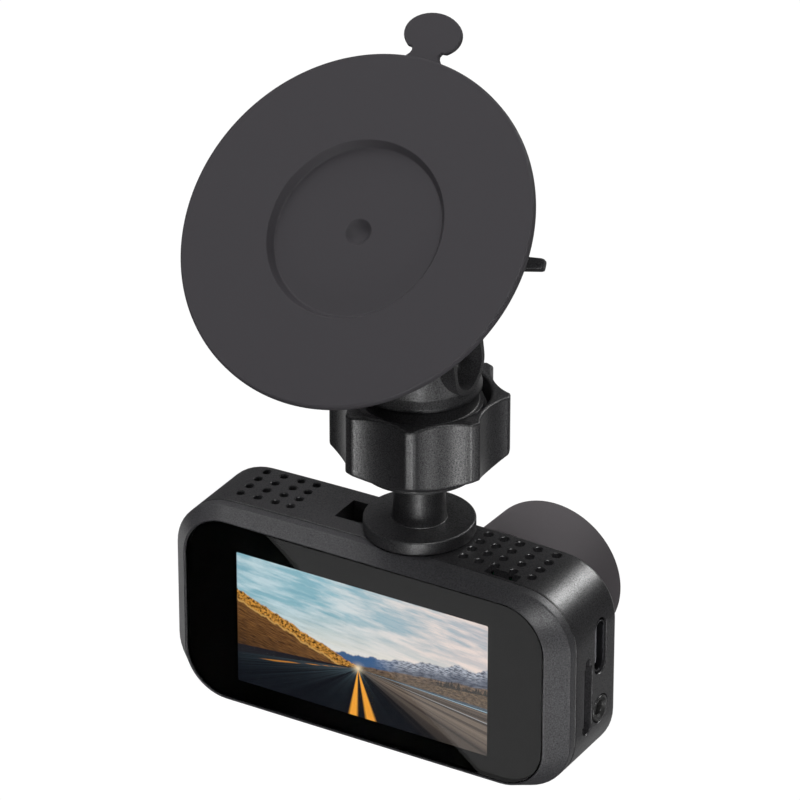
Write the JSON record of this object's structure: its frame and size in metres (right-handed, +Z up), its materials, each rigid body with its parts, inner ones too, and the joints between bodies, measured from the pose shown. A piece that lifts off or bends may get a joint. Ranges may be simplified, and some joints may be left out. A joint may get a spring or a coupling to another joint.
{
  "type": "dash camera",
  "caption": "Small dash camera with a rear screen, hung from a suction-cup windscreen mount by a clamped ball joint and a slide-in tee rail.",
  "frame": {"origin": "centre of the suction face of the cup, where it lies on the windscreen", "axes": "+Z up, +Y the way the lens looks, +X the long side of the camera, to the right when looking at its screen; the suction face leans 45 degrees, facing up and back"},
  "size_m": [0.0713, 0.0599, 0.12],
  "materials": {
    "cup_rubber": "matte",
    "mount_plastic": "fine matt grain",
    "nut_plastic": "satin",
    "seat_plastic": "smooth",
    "steel": "plain",
    "shell_plastic": "fine matt grain",
    "barrel_plastic": "soft-touch matt",
    "bezel_plastic": "fine matt grain",
    "cover_glass": "polished, dark printed border",
    "screen": "lit picture of a road",
    "tray_metal": "satin",
    "polyimide": "smooth",
    "cell_wrap": "smooth",
    "circuit_board": "solder mask",
    "chip_plastic": "matte",
    "thermal_pad": "soft",
    "switch_metal": "plain",
    "connector_plastic": "smooth",
    "port_plastic": "smooth",
    "card_plastic": "smooth",
    "mesh_fabric": "woven",
    "lens_black": "anodised matt black",
    "lens_glass": "coated"
  },
  "bodies": {
    "mount": {"suction_cup": "cup_rubber", "cup_housing": "mount_plastic", "mount_arm": "mount_plastic", "arm_screws": "steel"},
    "lock_ring": {"lock_ring": "nut_plastic"},
    "pull_stud": {"pull_stud": "mount_plastic", "cross_pin": "steel"},
    "clamp_nut": {"clamp_nut": "nut_plastic"},
    "ball_seat": {"ball_seat": "seat_plastic"},
    "ball_stud": {"ball_stud": "mount_plastic"},
    "camera": {"rear_shell": "shell_plastic", "lens_barrel": "barrel_plastic", "front_bezel": "bezel_plastic", "cover_glass": "cover_glass", "lcd_panel": "screen", "lcd_tray": "tray_metal", "display_ribbon": "polyimide", "backup_cell": "cell_wrap", "main_board": "circuit_board", "board_screws": "steel", "processor": "chip_plastic", "memory_chip": "chip_plastic", "heat_pad": "thermal_pad", "heat_spreader": "tray_metal", "microphone": "switch_metal", "usb_socket": "steel", "usb_tongue": "port_plastic", "card_socket": "steel", "av_jack": "port_plastic", "speaker": "port_plastic", "speaker_mesh": "mesh_fabric", "rail_channel": "shell_plastic", "side_switch": "switch_metal", "sensor_board": "circuit_board", "board_connector": "connector_plastic", "image_sensor": "chip_plastic", "lens_holder": "lens_black", "lens_tube": "lens_black", "rear_lenses": "lens_glass", "front_lens": "lens_glass", "lens_spacer": "lens_black", "lens_trim_ring": "nut_plastic", "lens_window": "lens_glass"},
    "memory_card": {"memory_card": "card_plastic"},
    "power_button": {"power_button": "port_plastic"}
  },
  "joints": [
    {"name": "lock_ring_turn", "type": "hinge", "parent": "mount", "child": "lock_ring", "pos_m": [0, 0, 0], "axis": [0, -0.7071, 0.7071], "range_deg": [0, 85]},
    {"name": "pull_stud_slide", "type": "slide", "parent": "mount", "child": "pull_stud", "axis": [0, -0.7071, 0.7071], "range_m": [0, 0.0015]},
    {"name": "clamp_nut_turn", "type": "hinge", "parent": "mount", "child": "clamp_nut", "pos_m": [0, 0.01909, -0.04469], "axis": [0, 0, 1], "range_deg": [-180, 180]},
    {"name": "pan", "type": "hinge", "parent": "mount", "child": "ball_seat", "pos_m": [0, 0.01909, -0.04469], "axis": [0, 0, 1], "continuous": true},
    {"name": "tilt", "type": "hinge", "parent": "ball_seat", "child": "ball_stud", "pos_m": [0, 0.01909, -0.04469], "axis": [1, 0, 0], "range_deg": [-25, 25]},
    {"name": "camera_slide", "type": "slide", "parent": "ball_stud", "child": "camera", "axis": [1, 0, 0], "range_m": [0, 0.0093]},
    {"name": "card_slide", "type": "slide", "parent": "camera", "child": "memory_card", "axis": [1, 0, 0], "range_m": [-0.0006, 0.014]},
    {"name": "power_button_press", "type": "slide", "parent": "camera", "child": "power_button", "axis": [1, 0, 0], "range_m": [0, 0.0004], "stiffness_N_per_m": 800, "springref_m": -0.0005}
  ],
  "couplings": [
    {"joint": "pull_stud_slide", "follows": "lock_ring_turn", "m_per_rad": 0.001011}
  ]
}
